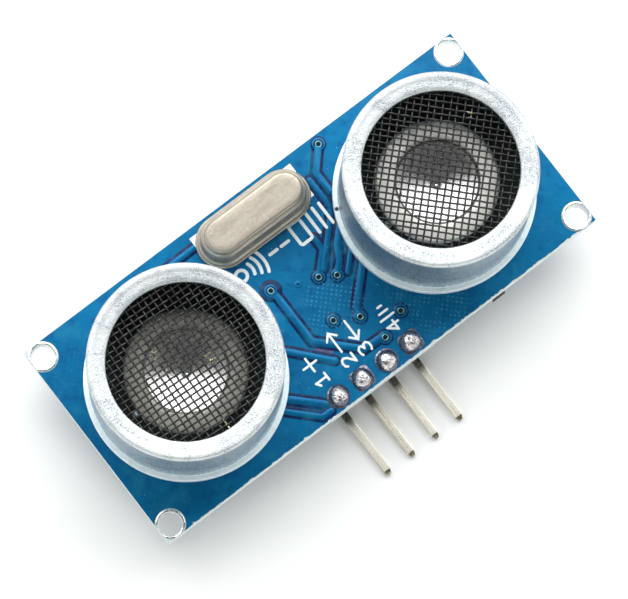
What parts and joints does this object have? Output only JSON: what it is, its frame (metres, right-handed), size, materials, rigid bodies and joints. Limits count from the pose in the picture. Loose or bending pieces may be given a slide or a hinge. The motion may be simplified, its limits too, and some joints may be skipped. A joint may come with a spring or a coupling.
{
  "type": "ultrasonic distance sensor",
  "caption": "Small blue board carrying two round open-fronted ultrasonic transducers side by side, a low crystal can between them and a right-angled pin header along one edge.",
  "frame": {"origin": "centre of the overall outline, pins included, at the underside of the bent header pins", "axes": "+X along the board's long side from transmitter to receiver, +Z the way the transducers face, the header pins leave towards -Y"},
  "size_m": [0.045, 0.0262, 0.018],
  "materials": {
    "base_plastic": "moulded",
    "board_mask": "glossy blue solder mask over glass-fibre laminate",
    "can_aluminium": "satin drawn aluminium",
    "capacitor_body": "fired body, tinned ends",
    "chip_plastic": "fine matt moulding, tinned leads",
    "cone_metal": "satin pressed sheet",
    "crystal_metal": "warm satin nickel plate",
    "damping_silicone": "translucent matt",
    "diaphragm_brass": "satin",
    "header_plastic": "moulded",
    "piezo_ceramic": "matt unglazed",
    "pin_plating": "pale plated",
    "quartz": "polished",
    "resistor_body": "glazed body, tinned ends",
    "screen_wire": "fine dark woven wire",
    "solder": "bright solder",
    "tinned_wire": "tinned"
  },
  "bodies": {
    "root": {"amplifier_chip": "chip_plastic", "capacitor_1": "capacitor_body", "capacitor_2": "capacitor_body", "capacitor_3": "capacitor_body", "capacitor_4": "capacitor_body", "capacitor_5": "capacitor_body", "circuit_board": "board_mask", "controller_chip": "chip_plastic", "crystal_base": "crystal_metal", "crystal_can": "crystal_metal", "crystal_joint_1": "solder", "crystal_joint_2": "solder", "crystal_lead_1": "tinned_wire", "crystal_lead_2": "tinned_wire", "driver_chip": "chip_plastic", "edge_capacitor": "capacitor_body", "header_body": "header_plastic", "header_pin_1": "pin_plating", "header_pin_2": "pin_plating", "header_pin_3": "pin_plating", "header_pin_4": "pin_plating", "pin_joint_1": "solder", "pin_joint_2": "solder", "pin_joint_3": "solder", "pin_joint_4": "solder", "quartz_blank": "quartz", "receiver_base": "base_plastic", "receiver_case": "can_aluminium", "receiver_cone": "cone_metal", "receiver_damping_ring": "damping_silicone", "receiver_diaphragm": "diaphragm_brass", "receiver_joint_a": "solder", "receiver_joint_b": "solder", "receiver_lead_a": "tinned_wire", "receiver_lead_b": "tinned_wire", "receiver_piezo_ceramic": "piezo_ceramic", "receiver_screen": "screen_wire", "receiver_tail_wire_a": "tinned_wire", "receiver_tail_wire_b": "tinned_wire", "resistor_1": "resistor_body", "resistor_2": "resistor_body", "resistor_3": "resistor_body", "resistor_4": "resistor_body", "resistor_5": "resistor_body", "resistor_6": "resistor_body", "resistor_7": "resistor_body", "transistor": "chip_plastic", "transmitter_base": "base_plastic", "transmitter_case": "can_aluminium", "transmitter_cone": "cone_metal", "transmitter_damping_ring": "damping_silicone", "transmitter_diaphragm": "diaphragm_brass", "transmitter_joint_a": "solder", "transmitter_joint_b": "solder", "transmitter_lead_a": "tinned_wire", "transmitter_lead_b": "tinned_wire", "transmitter_piezo_ceramic": "piezo_ceramic", "transmitter_screen": "screen_wire", "transmitter_tail_wire_a": "tinned_wire", "transmitter_tail_wire_b": "tinned_wire"}
  },
  "joints": []
}
